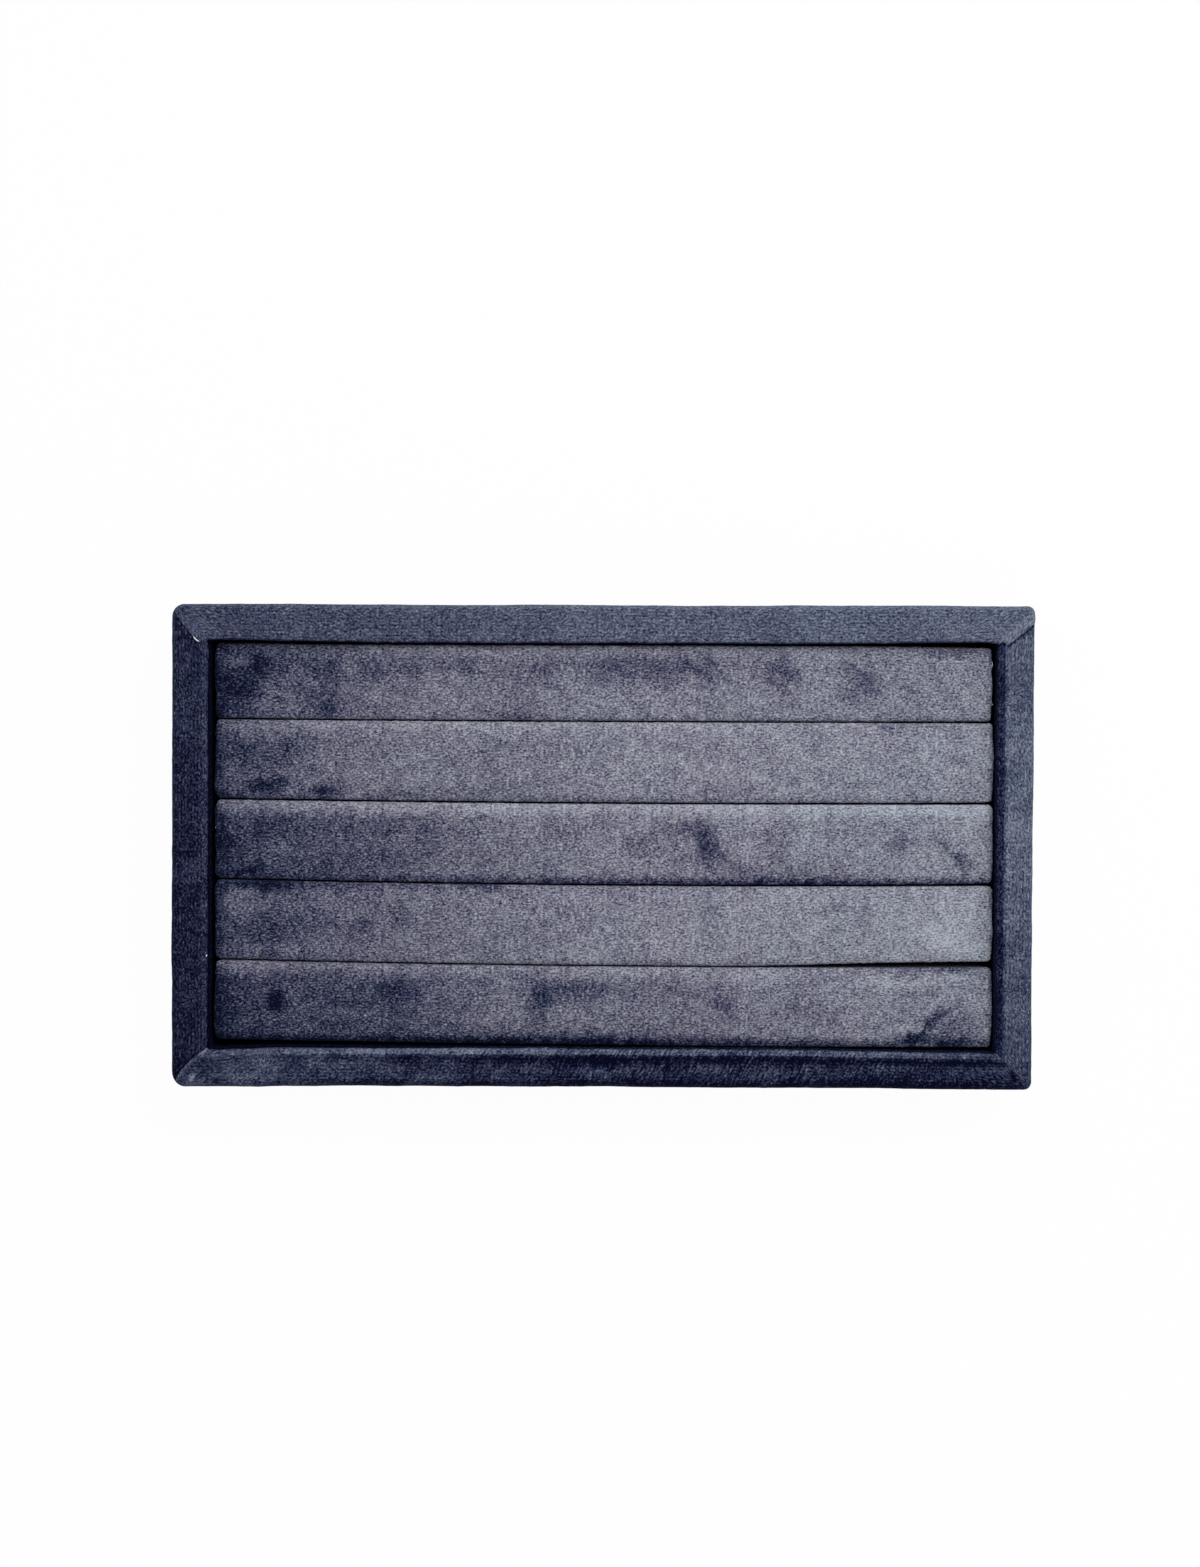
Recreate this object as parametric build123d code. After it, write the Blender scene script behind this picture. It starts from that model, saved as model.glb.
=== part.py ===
from build123d import *
import math
import os

# A velvet ring tray: four mitred rails on a base board, and five padded ring bars that lift out of it.
# X runs along the tray, +Y points to its rear rail and +Z up. The origin is under the middle of the tray.
# Lengths are in millimetres and angles in degrees.

# Tray
tray_length = 250.0
tray_depth = 140.0
tray_height = 30.0
corner_radius = 3.0

# Velvet and felt
velvet_thickness = 0.8
turn_under = 8.0
cover_thickness = 0.6
cover_inset = 2.0

# Boards
base_thickness = 3.0
rail_core_width = 9.0
rim_outer_radius = 2.2
rim_inner_radius = 1.8

# Brads
brad_diameter = 1.2
brad_head_diameter = 2.0
brad_head_depth = 0.6
corner_brad_length = 22.0
base_brad_length = 16.0
corner_brad_height_shares = (0.3, 0.7)
long_rail_brad_shares = (-0.36, -0.12, 0.12, 0.36)
short_rail_brad_shares = (-0.25, 0.25)

# Ring bars, counted from the rear rail. The rear one is squeezed, and they fan out towards the front.
bar_count = 5
rear_bar_share = 0.913
front_bar_askew = 0.36
bar_recess = 3.0
rear_clearance = 1.4
front_clearance = 2.3
left_clearance = 1.9
right_clearance = 0.9
slot_gap = 0.35

# The form of a bar
bar_crown = 0.8
bar_side_draw = 0.35
bar_edge_radius = 2.0
bar_end_radius = 1.8
bar_end_draw = 0.3
bar_end_drop = 0.5
stiffener_thickness = 1.5
bar_turn_under = 6.0

# Cuts run this far past what they cut
overrun = 1.0

# Heights of the layers, from the ground up
board_bottom = cover_thickness + velvet_thickness
board_top = board_bottom + base_thickness
floor_top = board_top + velvet_thickness
rail_top = tray_height - velvet_thickness
rail_height = rail_top - board_top

# The well between the rails
rail_width = rail_core_width + 2 * velvet_thickness
well_length = tray_length - 2 * rail_width
well_depth = tray_depth - 2 * rail_width

# What the bars take from the well
bar_length = well_length - left_clearance - right_clearance
bar_height = tray_height - bar_recess - floor_top
bar_shift = (left_clearance - right_clearance) / 2
askew_step = front_bar_askew / (bar_count - 1)
fan_gap = bar_length / 2 * math.tan(math.radians(askew_step))
bars_depth = well_depth - rear_clearance - front_clearance - (bar_count - 1) * (slot_gap + fan_gap)
bar_width = bars_depth / (bar_count - 1 + rear_bar_share)
rear_bar_width = bar_width * rear_bar_share


def block(length, depth, bottom, top):
    """A box round the Z axis, between two heights."""
    standing = (Align.CENTER, Align.CENTER, Align.MIN)
    return Pos(0, 0, bottom) * Box(length, depth, top - bottom, align=standing)


def frame_ring(skin, bottom, well_bottom):
    """The four rails as one ring, which lies a skin's thickness inside the outside of the velvet."""
    top = tray_height - skin
    ring = block(tray_length - 2 * skin, tray_depth - 2 * skin, bottom, top)
    ring = fillet(ring.edges().filter_by(Axis.Z), corner_radius - skin)
    ring = fillet(ring.faces().sort_by(Axis.Z)[-1].edges(), rim_outer_radius - skin)
    ring -= block(well_length + 2 * skin, well_depth + 2 * skin, well_bottom, top + overrun)
    rim = ring.faces().sort_by(Axis.Z)[-1].inner_wires()[0]
    return fillet(rim.edges(), rim_inner_radius - skin)


def mitre_zones():
    """The space of each rail, cut off at 45 degrees from the corners inwards."""
    x = tray_length / 2
    y = tray_depth / 2
    ridge = x - y
    far_x = x + overrun
    far_y = y + overrun
    outlines = {
        "front": [(-far_x, -far_y), (far_x, -far_y), (ridge, 0), (-ridge, 0)],
        "rear": [(-far_x, far_y), (-ridge, 0), (ridge, 0), (far_x, far_y)],
        "left": [(-far_x, -far_y), (-ridge, 0), (-far_x, far_y)],
        "right": [(far_x, -far_y), (far_x, far_y), (ridge, 0)],
    }
    zones = {}
    for side, points in outlines.items():
        zones[side] = extrude(make_face(Polyline(points, close=True)), tray_height + overrun)
    return zones


def base_board():
    """The panel that carries the rails, before its brads."""
    board = block(tray_length - 2 * velvet_thickness, tray_depth - 2 * velvet_thickness, board_bottom, board_top)
    return fillet(board.edges().filter_by(Axis.Z), corner_radius - velvet_thickness)


def underside_field(top):
    """The middle of the underside, between the edges of the turned-under velvet."""
    return block(tray_length - 2 * turn_under, tray_depth - 2 * turn_under, 0, top)


def velvet_ring():
    """The rails' velvet in one piece: down the outside, over the rim, down the inside and under the board."""
    ring = frame_ring(0, cover_thickness, board_top)
    ring -= frame_ring(velvet_thickness, board_top, board_top)
    return ring - base_board() - underside_field(board_bottom)


def floor_lining():
    """The velvet on the floor of the well."""
    return block(well_length, well_depth, board_top, floor_top)


def underside_cover():
    """Felt over the turned-under velvet, filled out to the board in the field between its edges."""
    sheet = block(tray_length - 2 * cover_inset, tray_depth - 2 * cover_inset, 0, cover_thickness)
    return sheet + underside_field(board_bottom)


def brad(length):
    """One brad with its point up and the flat of its head on the ground plane."""
    shank = extrude(Circle(brad_diameter / 2), length)
    head = extrude(Circle(brad_head_diameter / 2), brad_head_depth)
    return shank + head


def corner_brads():
    """Two brads at each corner, driven through the end of a short rail into a long one."""
    y = tray_depth / 2 - rail_width / 2
    x = tray_length / 2 - velvet_thickness
    brads = []
    for side in (-1, 1):
        for end in (-1, 1):
            for share in corner_brad_height_shares:
                place = Pos(end * x, side * y, board_top + rail_height * share) * Rot(0, -90 * end, 0)
                brads.append(place * brad(corner_brad_length))
    return brads


def base_brads():
    """Brads up through the base board into each rail."""
    y = tray_depth / 2 - rail_width / 2
    x = tray_length / 2 - rail_width / 2
    places = [(share * tray_length, side * y) for side in (-1, 1) for share in long_rail_brad_shares]
    places += [(side * x, share * tray_depth) for side in (-1, 1) for share in short_rail_brad_shares]
    return [Pos(place[0], place[1], board_bottom) * brad(base_brad_length) for place in places]


def bar_section(width, height):
    """A bar's section: flat foot, sides drawn in at top and bottom, rounded edges and a crowned top."""
    belly = width / 2
    edge = belly - bar_side_draw
    shoulder = height - bar_crown
    outline = [
        Line((-edge, 0), (edge, 0)),
        ThreePointArc((edge, 0), (belly, shoulder / 2), (edge, shoulder)),
        ThreePointArc((edge, shoulder), (0, height), (-edge, shoulder)),
        ThreePointArc((-edge, shoulder), (-belly, shoulder / 2), (-edge, 0)),
    ]
    return make_face(outline)


def bar_form(width, skin):
    """A bar's padded form, which lies a skin's thickness inside the outside of its velvet."""
    reach = bar_length / 2 - skin
    sections = []
    for x, draw, drop in ((-reach, bar_end_draw, bar_end_drop), (0, 0, 0), (reach, bar_end_draw, bar_end_drop)):
        face = bar_section(width - 2 * skin - 2 * draw, bar_height - 2 * skin - drop)
        face = fillet(face.vertices().group_by(Axis.Y)[-1], bar_edge_radius - skin)
        sections.append(Plane((x, 0, skin), x_dir=(0, 1, 0), z_dir=(1, 0, 0)) * face)
    form = loft(sections)
    ends = form.faces().filter_by(Axis.X).edges()
    foot = form.faces().sort_by(Axis.Z)[0].edges()
    return fillet([edge for edge in ends if edge not in foot], bar_end_radius - skin)


def bar_pieces(width):
    """One ring bar at the origin: foam on a stiffener board, wrapped in velvet, with its edges backed."""
    form = bar_form(width, 0)
    core = bar_form(width, velvet_thickness)
    board = block(bar_length, width, 0, velvet_thickness + stiffener_thickness)
    backing = block(bar_length - 2 * bar_turn_under, width - 2 * bar_turn_under, 0, velvet_thickness)
    return {
        "foam": core - board,
        "board": core & board,
        "velvet": form - core - backing,
        "backing": backing,
    }


def ring_bars():
    """Every bar's pieces in their places on the floor lining, from the rear rail to the front one."""
    nodes = {}
    edge = well_depth / 2 - rear_clearance
    for index in range(bar_count):
        width = rear_bar_width if index == 0 else bar_width
        place = Pos(bar_shift, edge - width / 2, floor_top) * Rot(0, 0, -askew_step * index)
        for name, piece in bar_pieces(width).items():
            nodes[f"ring_bar_{index + 1}_{name}"] = place * piece
        edge -= width + slot_gap + fan_gap
    return nodes


def tray_frame():
    """The tray itself: base board, rails, their velvet, the lining, the felt and the brads."""
    brads = corner_brads() + base_brads()
    nodes = {"base_board": base_board() - brads}
    rails = frame_ring(velvet_thickness, board_top, board_top) - brads
    velvet = velvet_ring()
    for side, zone in mitre_zones().items():
        nodes[f"{side}_rail"] = rails & zone
        nodes[f"{side}_rail_velvet"] = velvet & zone
    nodes["floor_lining"] = floor_lining()
    nodes["underside_cover"] = underside_cover()
    nodes["corner_brads"] = Compound(children=corner_brads())
    nodes["base_brads"] = Compound(children=base_brads())
    return nodes


os.makedirs("parts", exist_ok=True)
for node, shape in {**tray_frame(), **ring_bars()}.items():
    export_step(shape, f"parts/{node}.step")
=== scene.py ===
# Velvet ring tray: its cloth, boards and stage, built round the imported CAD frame.
# X runs along the ring bars, +Y points to the rear rail and +Z up. Lengths are in metres.

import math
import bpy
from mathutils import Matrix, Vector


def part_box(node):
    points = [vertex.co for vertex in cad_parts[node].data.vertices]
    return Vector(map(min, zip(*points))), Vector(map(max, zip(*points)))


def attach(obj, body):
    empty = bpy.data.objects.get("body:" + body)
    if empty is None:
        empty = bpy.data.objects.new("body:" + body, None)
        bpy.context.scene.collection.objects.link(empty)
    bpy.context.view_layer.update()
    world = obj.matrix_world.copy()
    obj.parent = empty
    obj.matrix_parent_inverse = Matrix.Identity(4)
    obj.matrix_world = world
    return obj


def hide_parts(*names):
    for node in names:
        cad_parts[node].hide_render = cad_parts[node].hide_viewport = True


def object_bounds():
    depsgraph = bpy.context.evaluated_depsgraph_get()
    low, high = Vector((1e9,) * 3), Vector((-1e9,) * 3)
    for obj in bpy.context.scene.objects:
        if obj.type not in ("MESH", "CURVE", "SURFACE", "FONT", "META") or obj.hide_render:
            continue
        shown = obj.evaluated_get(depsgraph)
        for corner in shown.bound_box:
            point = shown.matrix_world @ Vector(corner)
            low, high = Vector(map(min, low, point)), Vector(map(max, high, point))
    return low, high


bl_info = {
    "name": "Velvet Ring Tray",
    "version": (1, 0, 0),
    "blender": (4, 5, 0),
    "location": "View3D > Sidebar > Ring Tray",
    "description": "Builds a velvet ring tray with five lift-out ring bars round its CAD frame",
    "category": "Object",
}

from collections import namedtuple

import bmesh
import bpy
import numpy as np
from bpy.props import FloatProperty, FloatVectorProperty, PointerProperty
from mathutils import Color, Euler, Matrix, Vector

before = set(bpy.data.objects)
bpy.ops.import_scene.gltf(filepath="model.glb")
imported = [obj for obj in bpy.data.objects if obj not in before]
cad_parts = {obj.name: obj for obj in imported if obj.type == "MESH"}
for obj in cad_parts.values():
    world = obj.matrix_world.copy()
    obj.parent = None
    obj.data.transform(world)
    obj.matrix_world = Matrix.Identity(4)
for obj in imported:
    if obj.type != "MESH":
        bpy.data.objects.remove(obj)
CAD_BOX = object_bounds()

MM = 0.001
BAR_COUNT = 5
RAIL_NAMES = ("front", "right", "rear", "left")

# Places closer than this count as the same, and a divisor is at least this
CLOSE = 1e-6
TINY = 1e-12

# How many waves make up the fine random fields of the nap and of the ragged edges
FINE_WAVES = 40


# Places taken from the frame

HALF_LENGTH = CAD_BOX[1].x
HALF_DEPTH = CAD_BOX[1].y
TRAY_TOP = CAD_BOX[1].z
RAIL_WIDTH = HALF_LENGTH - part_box("floor_lining")[1].x
FOLD_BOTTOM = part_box("front_rail_velvet")[0].z
BOARD_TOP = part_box("base_board")[1].z
RIM_HEIGHT = TRAY_TOP - FOLD_BOTTOM

# How much further each bar is turned than the one behind it
BAR_FAN = math.radians(0.09)

Bar = namedtuple("Bar", "number middle length width height turn")


def bar_place(number):
    """A ring bar's middle, length, width, height and turn about the vertical, from its CAD box."""
    low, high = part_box(f"ring_bar_{number}_velvet")
    turn = -BAR_FAN * (number - 1)
    length = (high.x - low.x) / math.cos(turn)
    width = (high.y - low.y - length * abs(math.sin(turn))) / math.cos(turn)
    middle = Vector(((low.x + high.x) / 2, (low.y + high.y) / 2, low.z))
    return Bar(number, middle, length, width, high.z - low.z, turn)


# Settings


def length_property(name, description, millimetres, least=0.0):
    """A length setting, given in millimetres."""
    return FloatProperty(name=name, description=description, default=millimetres * MM, min=least * MM,
                         subtype="DISTANCE", unit="LENGTH")


def colour_property(name, description, *levels):
    """A colour setting, given as levels from 0 to 255."""
    return FloatVectorProperty(name=name, description=description, default=[level / 255 for level in levels],
                               size=3, min=0, max=1, subtype="COLOR_GAMMA")


# Shaping helpers


def ease(value, start, end):
    """Rises smoothly from 0 at start to 1 at end."""
    share = np.clip((value - start) / (end - start), 0, 1)
    return share * share * (3 - 2 * share)


def plateau(value, start, full, last, end):
    """Rises smoothly from 0 at start to 1 at full, and falls back to 0 from last to end."""
    return ease(value, start, full) * (1 - ease(value, last, end))


def hump(value, middle, reach):
    """One at the middle, fading to nothing within about two reaches."""
    return np.exp(-(((value - middle) / reach) ** 2))


def ripple(points, wavelength, seed, waves=14):
    """A smooth random field of about unit strength, the same on every run."""
    draw = np.random.default_rng(seed)
    turns = draw.normal(size=(waves, 3))
    turns /= np.linalg.norm(turns, axis=1, keepdims=True)
    turns *= math.tau / wavelength * draw.uniform(0.6, 1.5, (waves, 1))
    starts = draw.uniform(0, math.tau, waves)
    return np.sin(points @ turns.T + starts).sum(axis=1) / math.sqrt(waves / 2)


def mottle(points, depth, size, seed):
    """A fine random field of that depth, in patches of about that size in millimetres."""
    return depth * ripple(points, size * MM, seed, FINE_WAVES)


def cut_box(size, cells):
    """A box round the origin, cut into even cells along its three axes."""
    block = bmesh.new()
    bmesh.ops.create_cube(block, size=1.0, matrix=Matrix.Diagonal((*size, 1.0)))
    for axis in range(3):
        along = [e for e in block.edges if abs((e.verts[0].co - e.verts[1].co)[axis]) > CLOSE]
        cuts = round(size[axis] / cells[axis]) - 1
        bmesh.ops.subdivide_edges(block, edges=along, cuts=cuts, use_grid_fill=True)
    return block


def as_mesh(shape, name):
    """Turns a bmesh into a smooth-shaded mesh and frees it."""
    mesh = bpy.data.meshes.new(name)
    for face in shape.faces:
        face.smooth = True
    shape.to_mesh(mesh)
    shape.free()
    return mesh


def read_points(mesh):
    """The mesh's vertices as rows of x, y and z."""
    points = np.empty(len(mesh.vertices) * 3)
    mesh.vertices.foreach_get("co", points)
    return points.reshape(-1, 3)


def write_points(mesh, points):
    """Moves the mesh's vertices."""
    mesh.vertices.foreach_set("co", points.ravel())
    mesh.update()


def puff(mesh, height):
    """Moves each vertex out along its normal by its own height."""
    normals = np.empty(len(mesh.vertices) * 3)
    mesh.vertex_normals.foreach_get("vector", normals)
    write_points(mesh, read_points(mesh) + normals.reshape(-1, 3) * height[:, None])


def keep_values(mesh, **fields):
    """Stores one number a vertex under each name."""
    for name, values in fields.items():
        layer = mesh.attributes.new(name, "FLOAT", "POINT")
        layer.data.foreach_set("value", values.astype(np.float32))


def kept_values(mesh, name):
    """Numbers stored by keep_values."""
    values = np.empty(len(mesh.vertices), np.float32)
    mesh.attributes[name].data.foreach_get("value", values)
    return values.astype(float)


def face_corners(mesh):
    """The vertices of each face of a mesh of quads, four to a row."""
    corners = np.empty(len(mesh.loops), np.int32)
    mesh.loops.foreach_get("vertex_index", corners)
    return corners.reshape(-1, 4)


def lay_weave(mesh, along, section):
    """Gives the mesh its weave map: one row of the pile runs along, the next lies beside it."""
    layer = mesh.uv_layers.new(name="weave")
    layer.data.foreach_set("uv", np.stack((along, section), axis=-1).astype(np.float32).ravel())


def round_off(out, depth, radius):
    """Rounds an edge. Out and depth are the distances from its two faces; both grow inwards."""
    near_out = np.clip(radius - out, 0, None)
    near_depth = np.clip(radius - depth, 0, None)
    share = np.maximum(near_out, near_depth) / np.maximum(np.hypot(near_out, near_depth), TINY)
    both = (near_out > 0) & (near_depth > 0)
    pairs = ((near_out, out), (near_depth, depth))
    return [np.where(both, radius - near * share, own) for near, own in pairs]


def round_corners(x, y, half_x, half_y, radius):
    """Rounds the standing corners of a block. The radius may differ from vertex to vertex."""
    out_x, out_y = round_off(half_x - np.abs(x), half_y - np.abs(y), radius)
    return np.sign(x) * (half_x - out_x), np.sign(y) * (half_y - out_y)


# Materials


def seen(colour):
    """A colour as it is seen, made linear."""
    return (*Color(tuple(colour[:3])).from_srgb_to_scene_linear(), 1.0)


def tinted(colour, share):
    """A colour made darker or lighter by a share, up to white."""
    return [min(1.0, part * share) for part in colour[:3]]


class Nodes:
    """Short calls that add the nodes of a tree and join them."""

    def __init__(self, tree):
        self.tree = tree
        tree.nodes.clear()

    def feed(self, socket, value):
        """Gives an input socket a plain value, or joins it to an output socket."""
        if isinstance(value, bpy.types.NodeSocket):
            self.tree.links.new(value, socket)
        else:
            socket.default_value = value

    def add(self, kind, inputs, **settings):
        """A new node with its settings, and with a value or an output socket for some of its inputs."""
        node = self.tree.nodes.new(kind)
        for name, value in settings.items():
            setattr(node, name, value)
        for name, value in inputs.items():
            self.feed(node.inputs[name], value)
        return node

    def number(self, operation, first, second, clamp=False):
        """One sum. Either side is a socket or a plain number."""
        node = self.add("ShaderNodeMath", {0: first, 1: second}, operation=operation, use_clamp=clamp)
        return node.outputs["Value"]

    def swing(self, field, depth):
        """How far a field lies from its middle, times a depth."""
        return self.number("MULTIPLY", self.number("SUBTRACT", field, 0.5), depth)

    def blend(self, share, first, second):
        """A mix of two shaders."""
        return self.add("ShaderNodeMixShader", {0: share, 1: first, 2: second}).outputs["Shader"]

    def direct_rays(self):
        """1 for rays that show a thing to the camera, also mirrored or through glass, and 0 for others."""
        rays = self.add("ShaderNodeLightPath", {}).outputs
        direct = self.number("ADD", rays["Is Camera Ray"], rays["Is Glossy Ray"])
        return self.number("ADD", direct, rays["Is Transmission Ray"], clamp=True)


class Finish(Nodes):
    """A new node material with one Principled shader."""

    def __init__(self, name, roughness, specular, **inputs):
        self.material = bpy.data.materials.new(name)
        self.material.use_nodes = True
        super().__init__(self.material.node_tree)
        inputs = {"Roughness": roughness, "Specular IOR Level": specular, **inputs}
        self.shader = self.add("ShaderNodeBsdfPrincipled", inputs)
        self.output = self.add("ShaderNodeOutputMaterial", {"Surface": self.shader.outputs["BSDF"]})
        self.place = self.add("ShaderNodeTexCoord", {}).outputs["Object"]

    def noise(self, size, detail=1.0, roughness=0.5, stretch=(1, 1, 1), place=None, turn=0.0):
        """Random patches of about the given size, drawn out along an axis by its stretch, then turned."""
        mapping = {
            "Vector": place or self.place,
            "Scale": [size * share for share in stretch],
            "Rotation": (0, 0, turn),
        }
        spot = self.add("ShaderNodeMapping", mapping, vector_type="TEXTURE").outputs["Vector"]
        inputs = {"Vector": spot, "Scale": 1.0, "Detail": detail, "Roughness": roughness}
        return self.add("ShaderNodeTexNoise", inputs).outputs["Fac"]

    def ramp(self, factor, stops):
        """Colours along a factor from 0 to 1."""
        node = self.add("ShaderNodeValToRGB", {"Fac": factor})
        spots = node.color_ramp.elements
        while len(spots) < len(stops):
            spots.new(0.5)
        for spot, (position, colour) in zip(spots, stops):
            spot.position = position
            spot.color = colour
        return node.outputs["Color"]

    def dye(self, tone, *stops):
        """Colours the surface by a tone. The colours of the stops are as they are seen."""
        stops = [(position, seen(colour)) for position, colour in stops]
        self.feed(self.shader.inputs["Base Color"], self.ramp(tone, stops))

    def bump(self, height, distance, strength):
        """Gives the surface a fine relief."""
        bump = self.add("ShaderNodeBump", {"Height": height, "Distance": distance, "Strength": strength})
        self.feed(self.shader.inputs["Normal"], bump.outputs["Normal"])


# A tone of 0 lies at this place on a velvet's ramp, and a tone of 1 this much further on.
# Below 0 it nears black.
TONE_START = 0.13
TONE_SPREAD = 0.62

# The tint of a velvet's deepest shade, and a darker one for the narrow gaps of the well, painted shade there
DEEPEST = (0.5, 0.55, 0.75)
DEEPEST_WELL_SHADE = (0.3, 0.3, 0.45)

# Each velvet: whose colours and rows it has, how strong they are, its deepest tint, the depth of its rows and
# of its grain, its sheen and its specular level. In the well the rails' velvet is a darker copy with no
# sheen, painted shade that keeps the gaps dark.
VELVETS = {
    "rail_velvet": ("rail", 1.0, DEEPEST, 0.12, 1.9, 0.05, 0.03),
    "well_velvet": ("rail", 1.0, DEEPEST_WELL_SHADE, 0.1, 1.2, 0.0, 0.01),
    "bar_velvet": ("bar", 1.0, DEEPEST, 0.06, 1.87, 0.1, 0.05),
    "lining_velvet": ("rail", 0.7, DEEPEST, 0.1, 1.2, 0.1, 0.1),
}

# The two faint casts that the dye drifts between
WARM_CAST = (1.0, 0.965, 0.985, 1)
COOL_CAST = (0.965, 1.0, 0.995, 1)

# The bands of a wave texture lie this far apart at a scale of 1
BAND_SPACING = 0.314

# How strong the strokes are in a rail's pile that wasn't brushed
PLAIN_STROKES = 0.25


def shades(cloth, owner, strength, deepest):
    """Stops from the deepest shadow through a velvet's four shades, evenly spaced as the eye sees them."""
    names = ("dark", "dusky", "middle", "light")
    own = [np.array(getattr(cloth, f"{owner}_{name}")[:3]) * strength for name in names]
    dark, dusky, middle, light = own
    steps = {
        0: dark, 0.25: dusky, 0.44: (dusky + middle) / 2, 0.62: middle, 0.81: (middle + light) / 2, 1: light,
    }
    stops = [(TONE_START + TONE_SPREAD * share, seen(colour)) for share, colour in steps.items()]
    return [(0.0, seen(dark * deepest)), *stops, (1.0, seen(light + (light - middle) * 0.8))]


def velvet(name, cloth):
    """Cut pile. The nap attribute says how far it leans to the light, and fine grain and rows break it up."""
    owner, strength, deepest, row_depth, grain, sheen, specular = VELVETS[name]
    row_pitch = getattr(cloth, f"{owner}_row")
    sheen_inputs = {"Sheen Weight": sheen, "Sheen Roughness": 0.45, "Sheen Tint": seen((0.7, 0.71, 0.8))}
    finish = Finish(name, 0.92, specular, **sheen_inputs)
    nap = finish.add("ShaderNodeAttribute", {}, attribute_name="nap").outputs["Fac"]
    brushed = finish.add("ShaderNodeAttribute", {}, attribute_name="brushed").outputs["Fac"]
    weave = finish.add("ShaderNodeUVMap", {}, uv_map="weave").outputs["UV"]
    tufts = finish.noise(0.62 * MM, roughness=0.6, stretch=(1.15, 0.9, 1), place=weave)
    clumps = finish.noise(1.7 * MM, detail=2.0)
    strokes = finish.noise(0.8 * MM, stretch=(3.2, 0.8, 1), place=weave, turn=math.radians(60))
    threads = finish.noise(row_pitch, stretch=(1.7, 0.8, 1), place=weave)
    wave = {"Scale": BAND_SPACING / row_pitch, "Distortion": 2.6, "Detail": 2.0, "Detail Scale": 1.2}
    bands = {"wave_type": "BANDS", "bands_direction": "Y", "wave_profile": "SIN"}
    rows = finish.add("ShaderNodeTexWave", {"Vector": weave, **wave}, **bands).outputs["Fac"]
    ruffled = finish.number("MAXIMUM", finish.number("SUBTRACT", brushed, PLAIN_STROKES), 0.0)
    lying = finish.number("SUBTRACT", 0.5 * grain, finish.number("MULTIPLY", ruffled, 0.3 * grain))
    tone = nap
    fields = ((tufts, grain), (clumps, 0.3), (threads, lying), (rows, row_depth), (strokes, brushed))
    for field, depth in fields:
        tone = finish.number("ADD", tone, finish.swing(field, depth))
    spread = finish.number("ADD", finish.number("MULTIPLY", tone, TONE_SPREAD), TONE_START, clamp=True)
    x = finish.add("ShaderNodeSeparateXYZ", {"Vector": finish.place}).outputs["X"]
    to_right = finish.number("MULTIPLY", finish.number("SUBTRACT", x, 0.03), 2.0)
    clouds = finish.noise(18 * MM, detail=4.0, roughness=0.65)
    drift = finish.number("ADD", clouds, finish.number("MAXIMUM", to_right, 0.0))
    cast = finish.ramp(drift, [(0.38, WARM_CAST), (0.66, COOL_CAST)])
    pile = finish.ramp(spread, shades(cloth, owner, strength, deepest))
    dyed = finish.add("ShaderNodeVectorMath", {0: pile, 1: cast}, operation="MULTIPLY")
    finish.feed(finish.shader.inputs["Base Color"], dyed.outputs["Vector"])
    finish.bump(finish.number("ADD", tufts, finish.number("MULTIPLY", rows, 0.4)), 0.16 * MM, 0.4)
    return finish.material


def felt_finish(colour):
    """Pressed felt: short fibres lying every way."""
    finish = Finish("felt", 0.95, 0.1, **{"Sheen Weight": 0.2})
    long_way = finish.noise(0.7 * MM, detail=3.0, stretch=(3, 0.6, 1))
    cross_way = finish.noise(0.7 * MM, detail=3.0, stretch=(0.6, 3, 1))
    fibres = finish.number("MULTIPLY", finish.number("ADD", long_way, cross_way), 0.5)
    tone = finish.number("ADD", fibres, finish.swing(finish.noise(9 * MM, detail=2.0), 0.4))
    finish.dye(tone, (0.3, tinted(colour, 0.55)), (0.5, colour), (0.72, tinted(colour, 1.9)))
    finish.bump(fibres, 0.15 * MM, 0.5)
    return finish.material


def board_finish(name, colour, fibre_length, contrast):
    """Pressed board: pale and dark fibres, with a faint mottle."""
    finish = Finish(name, 0.85, 0.2)
    fibres = finish.noise(0.5 * MM, detail=3.0, stretch=(fibre_length, 1, 1))
    tone = finish.number("ADD", fibres, finish.swing(finish.noise(14 * MM, detail=3.0), 0.5))
    dark, light = tinted(colour, 1 - contrast), tinted(colour, 1 + contrast * 0.6)
    finish.dye(tone, (0.28, dark), (0.5, colour), (0.75, light))
    finish.bump(fibres, 0.06 * MM, 0.4)
    return finish.material


def foam_finish(colour):
    """Open-cell foam: small dark pores in a matt ground."""
    finish = Finish("foam", 0.95, 0.1)
    cells = {"Vector": finish.place, "Scale": 1 / (0.9 * MM)}
    walls = finish.add("ShaderNodeTexVoronoi", cells, feature="DISTANCE_TO_EDGE").outputs["Distance"]
    finish.dye(walls, (0.02, colour), (0.35, tinted(colour, 0.6)))
    finish.bump(walls, -0.3 * MM, 0.6)
    return finish.material


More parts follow.
